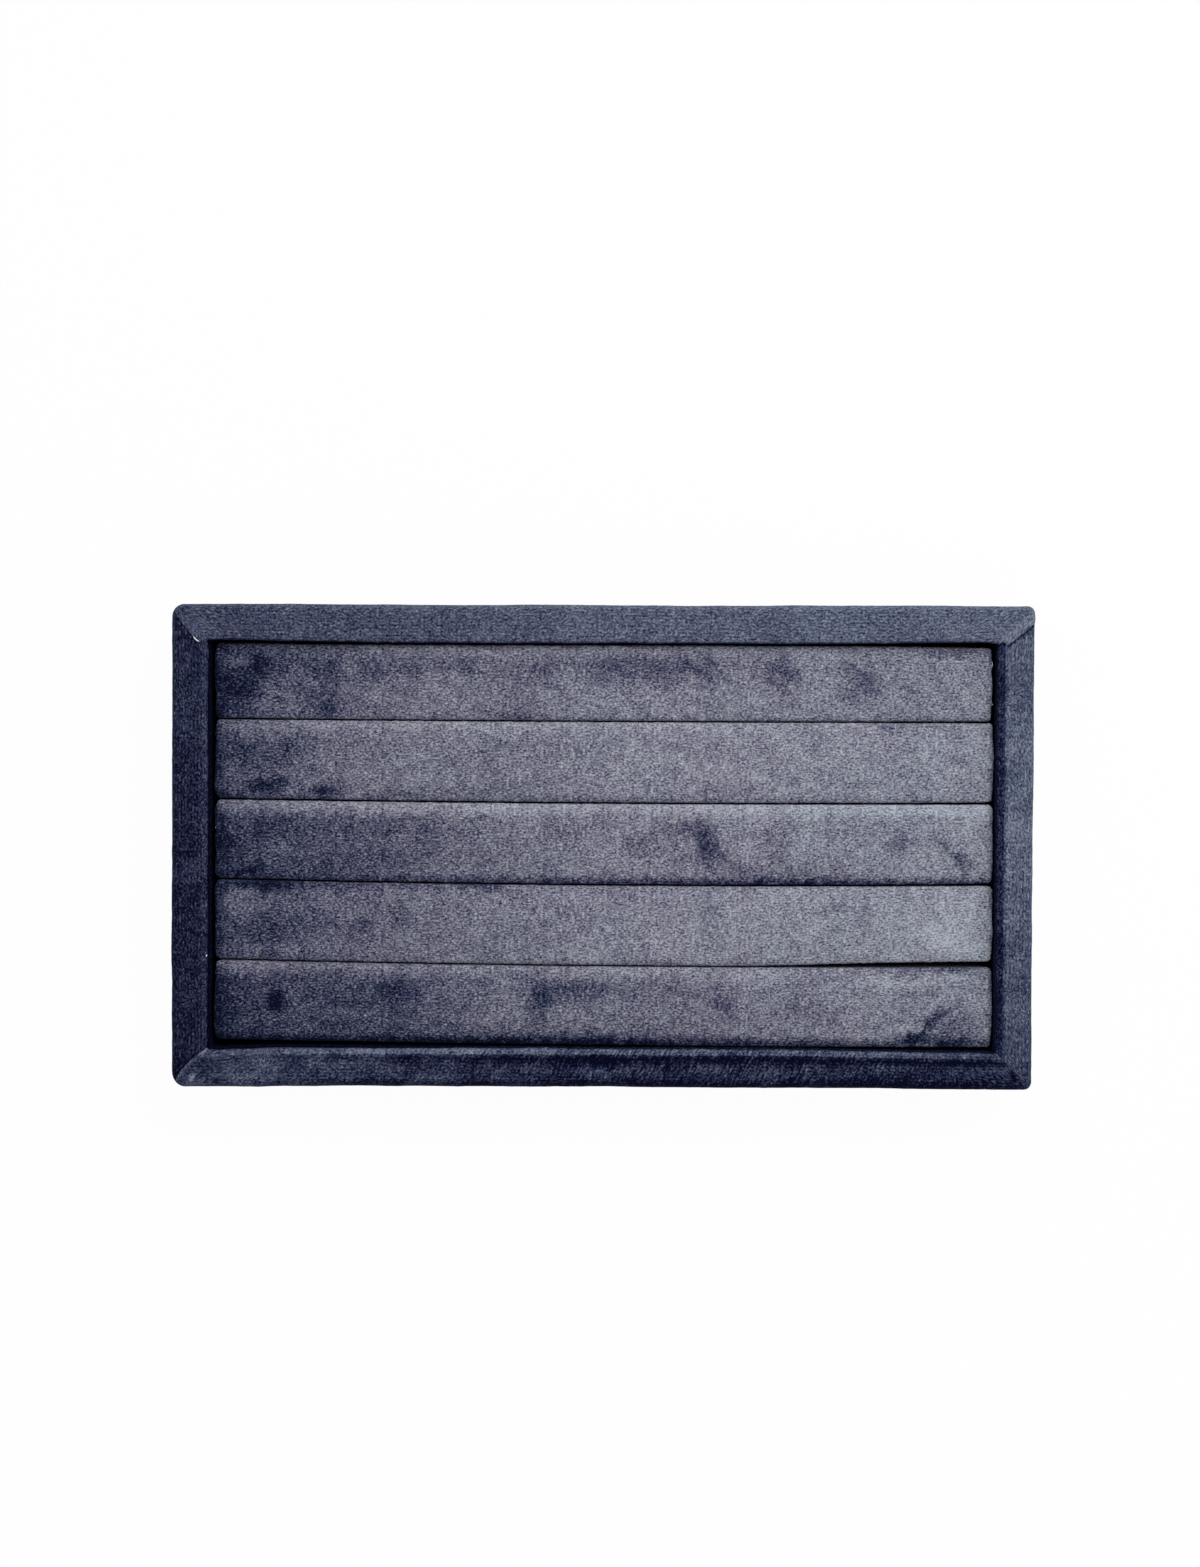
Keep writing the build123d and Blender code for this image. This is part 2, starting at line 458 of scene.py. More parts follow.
def steel_finish():
    """Drawn steel wire with a dull zinc bloom."""
    finish = Finish("steel", 0.38, 0.5, Metallic=1.0)
    bloom = finish.noise(1.2 * MM, detail=4.0)
    scratches = finish.noise(0.2 * MM, detail=2.0, stretch=(6, 1, 1))
    tone = finish.number("MULTIPLY", finish.number("ADD", bloom, scratches), 0.5)
    finish.dye(tone, (0.3, (0.55, 0.56, 0.58)), (0.7, (0.8, 0.81, 0.83)))
    dulled = finish.ramp(bloom, [(0.3, (0.3, 0.3, 0.3, 1)), (0.7, (0.5, 0.5, 0.5, 1))])
    finish.feed(finish.shader.inputs["Roughness"], dulled)
    finish.bump(scratches, 0.02 * MM, 0.3)
    return finish.material


def thread_finish():
    """A pale loose thread."""
    finish = Finish("pale_thread", 0.7, 0.3)
    tone = finish.noise(0.15 * MM, detail=2.0)
    finish.dye(tone, (0.3, (0.88, 0.89, 0.92)), (0.7, (1.0, 1.0, 1.0)))
    finish.bump(tone, 0.02 * MM, 0.3)
    return finish.material


def show(mesh, body, material, slot, *replaced):
    """Puts a finished mesh in the scene as one piece that rides on a body."""
    piece = bpy.data.objects.new(mesh.name, mesh)
    bpy.context.scene.collection.objects.link(piece)
    mesh.materials.append(material)
    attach(piece, body)
    if replaced:
        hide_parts(*replaced)
    return piece


def add_wall(piece, thickness):
    """Gives a sheet its thickness, inwards from its face."""
    wall = piece.modifiers.new("thickness", "SOLIDIFY")
    wall.thickness = thickness
    wall.offset = -1


# Rails

# For the tray's rear right, rear left, front left and front right corner: the radius of the outline, how far
# a long rail's velvet stands proud where it laps over, on the rim and on the sides, how far the short rail's
# velvet dips beside it, and how dark the painted shadow along the fold between them is. Then the tone of the
# flap, the painted highlight on the ridge of its edge, and how dark it is further back.
CORNER_RADII = (2.2 * MM, 3.6 * MM, 4.2 * MM, 2.4 * MM)
LAP_LIFTS = (0.5 * MM, 0.22 * MM, 0.42 * MM, 0.05 * MM)
LAP_SIDE_LIFTS = (0.16 * MM, 0.04 * MM, 0.05 * MM, 0.03 * MM)
LAP_DIPS = (0.45 * MM, 0.2 * MM, 0.2 * MM, 0.0)
LAP_SHADOWS = (0.6, 0.12, 0.06, 0.0)
FLAP_TONES = (0.16, 0.02, 0.0, 0.0)
FLAP_EDGE_HIGHLIGHTS = (0.06, 0.06, 0.4, 0.0)
FLAP_BACK_SHADES = (0.0, 0.0, 0.2, 0.0)

# How far past the mitre a long rail's velvet is cut
LAP_REACH = 5.6 * MM

# The tone of each rail's pile: places along it in millimetres, and the tones there
FRONT_TONES = ((-125, -70, -10, 108, 122), (0.42, 0.34, 0.12, 0.15, 0.42))
REAR_TONES = ((-125, -95, 0, 125), (0.51, 0.54, 0.73, 0.75))
LEFT_TONES = ((-68, -58, 0, 60), (-0.05, 0.08, 0.15, 0.23))
RIGHT_TONES = ((-68, -58, 0, 60), (0.48, 0.5, 0.81, 0.65))

# What the front rail's bands add or take, in the same form, from its inner edge to its outer one: a painted
# highlight where its inner edge rounds towards the lamp, a dark and a pale band in its brushed pile, and
# painted shade where its outer edge rounds away from the lamp.
INNER_EDGE_HIGHLIGHT = ((-125, -60, 0, 70, 110), (0.2, 0.46, 0.57, 0.48, 0.3))
DARK_BAND = ((-90, -30, 125), (0.06, 0.35, 0.35))
PALE_BAND = ((-60, 0, 125), (0.04, 0.16, 0.13))
OUTER_EDGE_SHADE = ((-125, -40, 125), (0.0, 0.25, 0.27))

# How far the long rails' inner edges stand proud, in the same form, in millimetres
FRONT_PROUD = ((-114, -108, -95, -70, 0, 60, 90, 114), (-0.2, 0.2, 0.65, 0.8, 0.8, 0.65, 0.1, -0.1))
REAR_PROUD = ((-114, -100, -80, 70, 95, 114), (-0.3, -0.1, 0.33, 0.33, -0.15, -0.3))
RIGHT_PROUD = 0.3 * MM

# How far the outline stands proud at the front's ends and at the rear's right end
OUTLINE_PROUD = 0.3 * MM


def by_corner(points, values):
    """Each vertex's own among four values, one for each corner of the tray."""
    right, rear = points[:, 0] > 0, points[:, 1] > 0
    return np.select([right & rear, ~right & rear, ~right & ~rear], values[:3], values[3])


def lap_width(points, across):
    """How far a long rail's velvet runs over the short rail, past the mitre."""
    inner = RAIL_WIDTH - across
    laps = (
        np.interp(inner, (0, 1.6 * MM, 2.9 * MM, RAIL_WIDTH), (0.5 * MM, 1.3 * MM, 3.6 * MM, 4.8 * MM)),
        np.minimum(1.5 * MM + 0.3 * across, inner + 0.5 * MM),
        (0.8 + 1.2 * np.sin(math.pi * across / RAIL_WIDTH)) * MM,
        np.full(len(points), 0.6 * MM),
    )
    return by_corner(points, laps)


def rail_run(quarter, rails):
    """One rail's velvet as a mitred run: outside, rim, inside and the hem under the board."""
    half, away = (HALF_LENGTH, HALF_DEPTH) if quarter % 2 == 0 else (HALF_DEPTH, HALF_LENGTH)
    run = cut_box((2 * half, RAIL_WIDTH, RIM_HEIGHT), (rails.cell,) * 3)

    def left_open(face):
        middle = face.calc_center_median()
        at_end = abs(middle.x) > half - CLOSE
        under = middle.z < CLOSE - RIM_HEIGHT / 2 and middle.y > rails.turn_under - RAIL_WIDTH / 2
        in_well = middle.y > RAIL_WIDTH / 2 - CLOSE and middle.z + TRAY_TOP - RIM_HEIGHT / 2 < BOARD_TOP
        return at_end or under or in_well

    bmesh.ops.delete(run, geom=[face for face in run.faces if left_open(face)], context="FACES")
    mesh = as_mesh(run, "run")
    points = read_points(mesh)
    along = points[:, 0]
    across = points[:, 1] + RAIL_WIDTH / 2
    up = points[:, 2] + RIM_HEIGHT / 2

    corners = face_corners(mesh)
    middles = points[corners].mean(axis=1)
    t, z = across[corners], up[corners]
    section = RIM_HEIGHT + t
    section = np.where(middles[:, 1:2] < CLOSE - RAIL_WIDTH / 2, z, section)
    section = np.where(middles[:, 1:2] > RAIL_WIDTH / 2 - CLOSE, 2 * RIM_HEIGHT + RAIL_WIDTH - z, section)
    section = np.where(middles[:, 2:3] < CLOSE - RIM_HEIGHT / 2, -t, section)
    lay_weave(mesh, along[corners], section)

    # The cells lie closer together towards the mitres, and there they lean over to run along them
    run_in = half - np.abs(along)
    run_in = run_in * (0.45 + 0.55 * np.clip(run_in / (14 * MM), 0, 1))
    across, drop = round_off(across, RIM_HEIGHT - up, rails.outer_radius)
    inside, drop = round_off(RAIL_WIDTH - across, drop, rails.inner_radius)
    across, rise = round_off(RAIL_WIDTH - inside, RIM_HEIGHT - drop, rails.hem_radius)
    lean = 1 - ease(run_in, 8 * MM, 33 * MM)
    reach = half - run_in - across * lean
    placed = np.stack((np.sign(along) * reach, across - away, rise + FOLD_BOTTOM), axis=1)
    placed = placed @ np.array(Matrix.Rotation(quarter * math.pi / 2, 3, "Z")).T
    radius = by_corner(placed, CORNER_RADII)
    placed[:, 0], placed[:, 1] = round_corners(placed[:, 0], placed[:, 1], HALF_LENGTH, HALF_DEPTH, radius)
    write_points(mesh, placed)
    side = -1 if quarter % 2 == 0 else 1
    keep_values(mesh, fold=run_in * side, across=across, rise=rise)
    rail = mesh.attributes.new("rail", "INT", "FACE")
    rail.data.foreach_set("value", np.full(len(mesh.polygons), quarter, np.int32))
    return mesh


def frame_skin(rails):
    """The four runs sewn into one skin at the mitres."""
    skin = bmesh.new()
    for quarter in range(4):
        run = rail_run(quarter, rails)
        skin.from_mesh(run)
        bpy.data.meshes.remove(run)
    rims = [vertex for vertex in skin.verts if vertex.is_boundary]
    bmesh.ops.remove_doubles(skin, verts=rims, dist=0.01 * MM)
    return as_mesh(skin, "frame_skin")


def rail_cloth(skin, quarter):
    """One rail's own velvet cut from the skin, with its ends lapped over or tucked under at the corners."""
    corners = face_corners(skin)
    fold = kept_values(skin, "fold")
    face_fold = fold[corners].mean(axis=1)
    middles = read_points(skin)[corners].mean(axis=1)
    rail = np.empty(len(skin.polygons), np.int32)
    skin.attributes["rail"].data.foreach_get("value", rail)
    facing = np.where(quarter == 0, middles[:, 1] < 0, middles[:, 1] > 0)
    owned = rail == quarter
    if quarter % 2 == 0:
        owned |= (rail % 2 == 1) & facing & (face_fold < LAP_REACH)
    piece = bmesh.new()
    piece.from_mesh(skin)
    piece.faces.ensure_lookup_table()
    bmesh.ops.delete(piece, geom=[piece.faces[i] for i in np.flatnonzero(~owned)], context="FACES")
    return as_mesh(piece, f"{RAIL_NAMES[quarter]}_velvet")


def spot(x, y, place, reach):
    """A round mark: 1 at its place, fading to nothing within about two reaches."""
    return hump(np.hypot(x - place[0], y - place[1]), 0, reach)


def rail_nap(quarter, points, across, rise, fold, lap):
    """How light the pile of a rail looks, from 0 to 1, with painted light and shade on its edges, at its
    folds and in the well. Below 0 it is in the dark of the well.
    """
    x, y = points[:, 0] / MM, points[:, 1] / MM
    inner = (RAIL_WIDTH - across) / MM
    past = (fold - lap) / MM
    if quarter == 0:
        drawn_out = points * (0.5, 1, 1)
        nap = np.interp(x, *FRONT_TONES)
        # Painted highlight on the inner edge and painted shade on the outer edge, with the brushed pile's
        # dark and pale bands between
        nap += (1 - ease(inner, 1.3, 2.2)) * np.interp(x, *INNER_EDGE_HIGHLIGHT)
        nap -= hump(inner, 2.9, 0.85) * np.interp(x, *DARK_BAND)
        nap += hump(inner, 5.8, 1.6) * np.interp(x, *PALE_BAND)
        nap -= ease(inner, 7.6, 9.2) * np.interp(x, *OUTER_EDGE_SHADE)
        nap += mottle(drawn_out, 0.085, 8, 41) + mottle(drawn_out, 0.06, 3.2, 42)
        # A painted highlight beside a painted dark spot, a small pit near the front left corner, and painted
        # shade in the dent at the front right corner
        nap += 0.6 * spot(x, y, (-118.5, -66.8), 0.8) - 0.7 * spot(x, y, (-117.0, -66.7), 0.9)
        nap -= 0.8 * hump(np.hypot(1.7 * (x - 119.7), y + 65.7), 0, 1.5)
    elif quarter == 2:
        nap = np.interp(x, *REAR_TONES)
        # Painted shade where the inner edge rounds away from the lamp, and a painted highlight where the
        # outer edge rounds towards it
        nap -= 0.12 * (1 - ease(inner, 0.1, 1.0))
        nap += 0.08 * (1 - ease(across / MM, 0.5, 1.8))
        nap += mottle(points, 0.03, 12, 43) + mottle(points, 0.03, 4, 44)
    else:
        # Along the inner edges, painted highlight on the left rail, whose edge rounds towards the lamp, and
        # painted shade on the right rail, weaker near its ends
        right_edge_shade = -0.66 + 0.2 * ease(np.abs(y), 44, 58)
        left = (LEFT_TONES, 0.14, -0.1, 2.5)
        right = (RIGHT_TONES, right_edge_shade, 0.14, 1.0)
        tones, strip, line, line_place = left if quarter == 3 else right
        nap = np.interp(y, *tones)
        nap += strip * (1 - ease(inner, 1.8, 2.5)) + line * hump(inner, line_place, 0.3)
        nap += mottle(points, 0.04, 14, 45) + mottle(points, 0.04, 4, 46)
        # Painted shadow along the fold where the long rail's velvet laps over the short rail's
        nap -= by_corner(points, LAP_SHADOWS) * hump(past, 0.3, 0.55)
    if quarter % 2 == 0:
        flap = ease(past, -lap / MM - 0.5, -lap / MM * 0.7)
        nap += by_corner(points, FLAP_TONES) * flap
        # Painted highlight on the ridge of the flap's fold
        nap += by_corner(points, FLAP_EDGE_HIGHLIGHTS) * hump(past, -0.3, 0.35)
        nap -= by_corner(points, FLAP_BACK_SHADES) * hump(past, -2.8, 1.3)
    side = 0.36 + 0.05 * ripple(points, 15 * MM, 47)
    depth = (RIM_HEIGHT - rise) / MM
    on_outside = across < RAIL_WIDTH / 2
    # Painted shade: the walls inside the well are much darker than those outside, and darker still along
    # their top few millimetres, except on the right rail
    painted_wall_shade = 0.2 * (1 - ease(depth, 2.5, 6.0)) * (1 - ease(x, -90, 10)) * (quarter != 1)
    wall = np.where(on_outside, side, 0.08 - painted_wall_shade)
    blend = np.where(on_outside, ease(depth, 1.2, 4.0), ease(depth, 0.3, 1.0))
    return nap + (wall - nap) * blend


def bend_edges(mesh):
    """Bends the rails' inner edges into the well, and the outline outwards at three corners."""
    points = read_points(mesh)
    x, y, z = points.T
    y += MM * np.interp(x / MM, *FRONT_PROUD) * plateau(y, -67 * MM, -60.5 * MM, -59 * MM, -50 * MM)
    y -= MM * np.interp(x / MM, *REAR_PROUD) * plateau(y, 50 * MM, 59 * MM, 60.5 * MM, 67 * MM)
    x -= RIGHT_PROUD * plateau(x, 108 * MM, 114 * MM, 115 * MM, 122 * MM) * ease(z, 21 * MM, 27 * MM)
    at_front = ease(-y, 62 * MM, 70 * MM) * ease(np.abs(x), 70 * MM, 115 * MM)
    at_rear = ease(y, 62 * MM, 70 * MM) * ease(x, -20 * MM, 110 * MM)
    y += OUTLINE_PROUD * (at_rear - at_front)
    write_points(mesh, points)


def shape_rail(mesh, quarter, rails):
    """Finishes a rail's velvet: soft waves, creases and the stepped folds at its corners."""
    points = read_points(mesh)
    across, rise, fold = (kept_values(mesh, name) for name in ("across", "rise", "fold"))
    inner = RAIL_WIDTH - across
    lap = lap_width(points, across)
    back = lap - fold
    on_top = ease(rise, RIM_HEIGHT - 3 * MM, RIM_HEIGHT - 1 * MM)
    raised = on_top * ease(across, 0.2 * MM, 3 * MM)
    height = rails.crown * (1 - (2 * across / RAIL_WIDTH - 1) ** 2) * on_top
    height += rails.wave * (ripple(points, 18 * MM, 11) + 0.4 * ripple(points, 5 * MM, 12)) * on_top
    height += rails.wave * 0.8 * ripple(points, 50 * MM, 13)
    if quarter % 2 == 0:
        lift = raised * by_corner(points, LAP_LIFTS) + (1 - raised) * by_corner(points, LAP_SIDE_LIFTS)
        height += lift * hump(back, 0.6 * MM, 2.6 * MM) * ease(back, -0.1 * MM, 0.5 * MM)
        height -= (0.2 + 0.75 * on_top) * MM * (1 - ease(back, -0.45 * MM, 0.1 * MM))
    else:
        height -= raised * by_corner(points, LAP_DIPS) * (1 - ease(-back, 0.0, 1.1 * MM))
        height -= rails.crease * hump(inner, 2.3 * MM, 0.4 * MM) * on_top
    brushed = np.full(len(points), PLAIN_STROKES)
    if quarter == 0:
        dent = spot(points[:, 0], points[:, 1], (119.5 * MM, -65.6 * MM), 0.8 * MM)
        height -= 0.5 * MM * dent * on_top
        height += 0.12 * MM * hump(inner, 1.4 * MM, 0.9 * MM) * on_top
        brushed = 0.7 + hump(points[:, 0], 35 * MM, 60 * MM)
    keep_values(mesh, nap=rail_nap(quarter, points, across, rise, fold, lap), brushed=brushed)
    puff(mesh, height)
    bend_edges(mesh)
    # Faces deep in the well take the second, darker velvet without sheen: painted shade for the gaps
    corners = face_corners(mesh)
    depth = RIM_HEIGHT - rise[corners].min(axis=1)
    in_well = (across[corners].min(axis=1) > RAIL_WIDTH - 0.4 * MM) & (depth > 1.4 * MM)
    mesh.polygons.foreach_set("material_index", in_well.astype(np.int32))
    for name in ("fold", "across", "rise", "rail"):
        mesh.attributes.remove(mesh.attributes[name])


class RailSettings(bpy.types.PropertyGroup):
    cell: length_property("Cell", "Size of the cloth's mesh cells on the rails", 0.7, 0.3)
    turn_under: length_property("Turn-under", "How far the velvet runs under the base board", 8)
    outer_radius: length_property("Outer rim radius", "Rounding of the rim's outer edge", 2.2)
    inner_radius: length_property("Inner rim radius", "Rounding of the rim's inner edge", 0.7)
    hem_radius: length_property("Hem radius", "Rounding where the velvet turns under the board", 1)
    crown: length_property("Rim crown", "How far the middle of the rim stands above its edges", 0.15)
    wave: length_property("Wave", "Height of the soft waves in the rails' velvet", 0.08)
    crease: length_property("Crease", "Depth of the crease along the short rails", 0.16)
    skin: length_property("Velvet thickness", "Thickness of the velvet on the rails", 0.7, 0.1)


class RINGTRAY_OT_rails(bpy.types.Operator):
    """Make the four rails' velvet, lapped at the corners"""

    bl_idname = "ring_tray.rails"
    bl_label = "Rail Velvets"

    def execute(self, context):
        rails = context.scene.ring_tray_rails
        cloth = context.scene.ring_tray_cloth
        rail_finish, well_shade_finish = velvet("rail_velvet", cloth), velvet("well_velvet", cloth)
        skin = frame_skin(rails)
        for quarter, name in enumerate(RAIL_NAMES):
            mesh = rail_cloth(skin, quarter)
            shape_rail(mesh, quarter, rails)
            piece = show(mesh, "tray", rail_finish, "rail_velvet", f"{name}_rail_velvet")
            mesh.materials.append(well_shade_finish)
            add_wall(piece, rails.skin)
        bpy.data.meshes.remove(skin)
        return {"FINISHED"}


# Ring bars

# The marks on each bar: patches of the nap, and in the long narrow dark ones along the front edges and beside
# the open end of the fourth slot, painted shade. Each has its distance along from the tray's middle, distance
# from the bar's own midline towards the rear, length, width, depth of tone and, where it is turned, its turn
# in degrees. Lengths are in millimetres.
NAP_AND_SHADE_MARKS = {
    1: [
        (-106, 6.3, 9, 3.6, 0.34), (-100.5, 5.2, 9, 5, -0.32, -20), (-105, -2.6, 13, 11, -0.25),
        (-96, -5.5, 12, 9, 0.2), (-80.5, 0.5, 8, 17, -0.2), (-78, -7.5, 7, 4, -0.18),
        (-67.5, 3.8, 7, 6, -0.16), (-56, 3.8, 8, 6, -0.17), (-41, 5, 8, 5, -0.17), (-21, 3.8, 10, 6, -0.17),
        (3.5, 4.4, 14, 9, -0.26), (18, 4.8, 15, 9, -0.3), (29.5, 4.2, 10, 6, -0.26, -25),
        (51.5, 3.2, 8, 9, -0.34), (75, -0.3, 10, 9, -0.26), (70, 3.2, 7, 5, -0.13),
        (-35, 5.2, 150, 6, -0.1), (-25, -9.2, 8, 3, -0.24), (-20, -5, 110, 5, 0.05),
        (-18, -1.5, 32, 10, -0.08), (103, 9.4, 18, 2.8, -0.26),
    ],
    2: [
        (-103.5, 7.2, 9, 3.6, 0.1), (-105, 2, 7, 6, -0.26), (-89, 4.4, 11, 5, -0.17),
        (-98, -7.6, 14, 3.8, -0.46), (-81.5, -9.2, 8, 4.2, -0.62), (-89.5, -5.8, 6, 3, 0.1),
        (-38, -9, 15, 3.2, -0.26), (-58, -9.4, 14, 2.6, -0.24), (33, -9, 15, 3.4, -0.24),
        (28, 4.5, 26, 6, -0.08), (-30, 2, 60, 9, -0.05), (5, -3, 22, 7, 0.04), (-96, -1, 14, 5, -0.16),
        (-18, -1, 36, 22, -0.05), (80, 10, 20, 2.6, -0.12),
    ],
    3: [
        (-110, -2, 6, 14, -0.16), (-102.5, -9.3, 9, 3.4, -0.3), (-92, 3.2, 22, 7, -0.06),
        (-91.5, -2.9, 11, 2.8, 0.2, -8), (-66, 3.2, 30, 8, -0.11), (-66, -6.5, 26, 7, -0.1),
        (-10, 3, 9, 5, -0.13), (10, -0.7, 8, 6, -0.18), (23, 4, 14, 5, -0.19),
        (30.6, -0.8, 8, 13, -0.44, 10), (40, -7.6, 12, 3.6, -0.2, -20), (51, 0, 7, 12, -0.2),
        (70, 3.8, 8, 4, -0.1), (86.5, 0, 7, 7, -0.24), (103.6, -4.6, 18, 3.8, -0.33, -44),
        (24, -3, 15, 10, -0.1), (-72, -5, 44, 14, -0.06), (60, -9.8, 56, 4.4, -0.2),
    ],
    4: [
        (-100, 10.1, 18, 3, -0.42), (-36, 10.2, 13, 2.8, -0.4), (-70, 10, 50, 2.4, -0.18),
        (-105, 4.4, 17, 6, 0.22), (-95, -5, 11, 5.4, -0.16), (-84, -1.2, 26, 5, -0.1),
        (-71, -2.2, 8, 5, -0.16), (-92, -8.3, 40, 2.6, 0.1), (-59, 1, 7, 5, -0.12),
        (-17.5, -3, 2.8, 12, -0.13), (-27, -2, 8, 12, 0.07), (11, 1, 9, 8, 0.07), (31, 4, 10, 7, -0.1),
        (68, 4.5, 17, 2.6, -0.13), (101, -4, 16, 9, 0.24), (79, -4.6, 9, 6, 0.07), (102, 4.5, 18, 9, 0.13),
    ],
    5: [
        (-95.5, -0.3, 4.8, 5.2, -0.58), (-110, -2, 6, 15, -0.12), (-67, -1, 36, 15, -0.14),
        (-60, 3.2, 12, 7, -0.18), (-76, -7.5, 10, 5, -0.12), (-87, -2.6, 6, 4, 0.1), (-28, 1, 9, 13, 0.1),
        (-9, 3.6, 21, 6, -0.21), (-18.2, -1, 5, 11, -0.34), (20, 5, 9, 5, -0.05),
        (36, -0.8, 9, 4.6, -0.32, -22), (58, -1, 13, 5, -0.12, -10), (95.8, -5.4, 20, 2.3, -0.46, 39),
        (92, -9.4, 13, 3.2, -0.4, 10), (103, -7, 15, 9, -0.27), (89, 6.8, 26, 3.8, 0.2),
        (102, -10.5, 20, 2.8, -0.42), (95, 11.4, 38, 2.2, -0.26), (-68, -4, 20, 6, 0.08),
        (-4, -10.2, 74, 3.8, -0.3), (52, -10.4, 40, 3.2, -0.14),
    ],
}

# Each bar's tone at its left end, at its right end, and the reach in millimetres of the change between them
BAR_TONES = {
    1: (0.13, 0.775, 36),
    2: (0.3, 0.855, 38),
    3: (0.19, 0.9, 74),
    4: (0.26, 0.945, 74),
    5: (0.19, 0.895, 108),
}

# How much lighter each bar is along its rear edge, mostly a painted highlight where the edge rounds towards
# the lamp, and along its front edge, mostly painted shade where it rounds away: at its left end, in the
# middle and at its right end
REAR_EDGE_HIGHLIGHTS = {
    1: (0.04, 0.09, 0.0),
    2: (0.14, 0.11, 0.0),
    3: (0.4, 0.27, 0.22),
    4: (-0.02, -0.04, 0.0),
    5: (0.38, 0.22, -0.08),
}
FRONT_EDGE_SHADES = {
    1: (0.06, -0.12, -0.18),
    2: (-0.2, -0.24, -0.15),
    3: (-0.12, -0.5, -0.66),
    4: (0.05, -0.13, -0.12),
    5: (-0.34, -0.66, -0.26),
}

# Where the rear highlight starts to fade and ends, and where the front shade ends, in millimetres from its
# edge.
# Two bars have wider ones.
BAND_WIDTHS = (2.2, 5.0, 2.5)
WIDER_BANDS = (2.8, 6.6, 3.2)
WIDE_BAND_BARS = (3, 5)

# The bars' ends lie about this far from the tray's middle, in millimetres
BAR_END = 113

# How far the rear bar's rear edge, the four slots and the front bar's front edge lie to the front of their
# places: what is added at the middle, and what is added all along
SLOT_BOWS = (0.0, 0.3 * MM, 0.6 * MM, 0.9 * MM, 0.9 * MM, 0.45 * MM)
SLOT_SHIFTS = (-0.4 * MM, -0.05 * MM, -0.05 * MM, 0.0, 0.15 * MM, 0.6 * MM)

# How much narrower the rear gap, the four slots and the front gap are than their clearances
SLOT_CLOSINGS = (0.1 * MM, 0.0, 0.16 * MM, 0.26 * MM, 0.4 * MM, 0.1 * MM)

# How far besides the rear bar's rear edge lies to the front: places along it and distances, in millimetres
REAR_EDGE = ((-112, -85, 80, 105), (-0.4, 0.0, 0.0, 0.3))

# How far the fourth slot stands open at its right end
OPEN_SLOT = 1.08 * MM

# How far a bar swells past its place at its left end, how far each one does at its right end, and over what
# length it does so
LEFT_SWELL = 0.2 * MM
RIGHT_SWELLS = (-0.3 * MM, 0.14 * MM, 0.25 * MM, 0.22 * MM, 0.2 * MM)
SWELL_REACH = 20 * MM

# Inside its hem, a wrap's foot is tucked up to this height, above the backing strip
TUCKED = 0.95 * MM

FOAM_CELLS = (2.5 * MM, 1.6 * MM, 1.2 * MM)


def bar_form(mesh, bar, inset, bars):
    """Rounds and crowns a cut box into a padded bar that lies an inset inside its outside."""
    points = read_points(mesh)
    half_x, half_y, tall = bar.length / 2 - inset, bar.width / 2 - inset, bar.height - 2 * inset
    radius = bars.end_radius - inset
    x, y = round_corners(points[:, 0], points[:, 1], half_x, half_y, radius)
    z = points[:, 2] + tall / 2
    over_x = np.clip(np.abs(x) - (half_x - radius), 0, None)
    over_y = np.clip(np.abs(y) - (half_y - radius), 0, None)
    over = np.hypot(over_x, over_y)
    out = radius - over
    new_out, drop = round_off(out, tall - z, bars.edge_radius - inset)
    new_out, rise = round_off(new_out, tall - drop, max(bars.foot_radius - inset, 0.2 * MM))
    shift = (out - new_out) / np.maximum(over, TINY) * (over > 0)
    x = x + np.sign(x) * over_x * shift
    y = y + np.sign(y) * over_y * shift
    far = x / half_x
    side = y / half_y
    z = rise * (1 - (bars.crown * side**2 + bars.end_drop * far**2) / tall)
    swell = bars.top_swell * (1 + 1.3 * ease(x, -60 * MM, 100 * MM))
    draw = np.where(z < tall / 2, bars.side_draw, -swell)
    y = y * (1 - (draw * (2 * z / tall - 1) ** 2 + bars.end_draw * far**2) / half_y)
    right_swell = RIGHT_SWELLS[bar.number - 1] * ease(x, half_x - SWELL_REACH, half_x)
    x = x + right_swell - LEFT_SWELL * ease(-x, half_x - SWELL_REACH, half_x)
    return np.stack((x, y, z + inset), axis=1)


def bow_bar(points, bar):
    """Pushes a bar to the front, most at its middle: the rear bars press on those before them."""
    x, y, z = points.T
    share = np.clip(y / bar.width + 0.5, 0, 1)
    front, rear = bar.number, bar.number - 1
    bow = SLOT_BOWS[front] + (SLOT_BOWS[rear] - SLOT_BOWS[front]) * share
    shift = SLOT_SHIFTS[front] + (SLOT_SHIFTS[rear] - SLOT_SHIFTS[front]) * share
    forward = bow * (1 - (2 * x / bar.length) ** 2) + shift
    forward += (SLOT_CLOSINGS[front] * (1 - share) - SLOT_CLOSINGS[rear] * share) / 2
    if bar.number == 1:
        forward += MM * share * np.interp(x / MM, *REAR_EDGE)
    if bar.number == 4:
        forward -= OPEN_SLOT * (1 - share) * ease(x, 35 * MM, 94 * MM)
    y -= forward * (0.7 + 0.3 * ease(z, 2.3 * MM, 13 * MM))


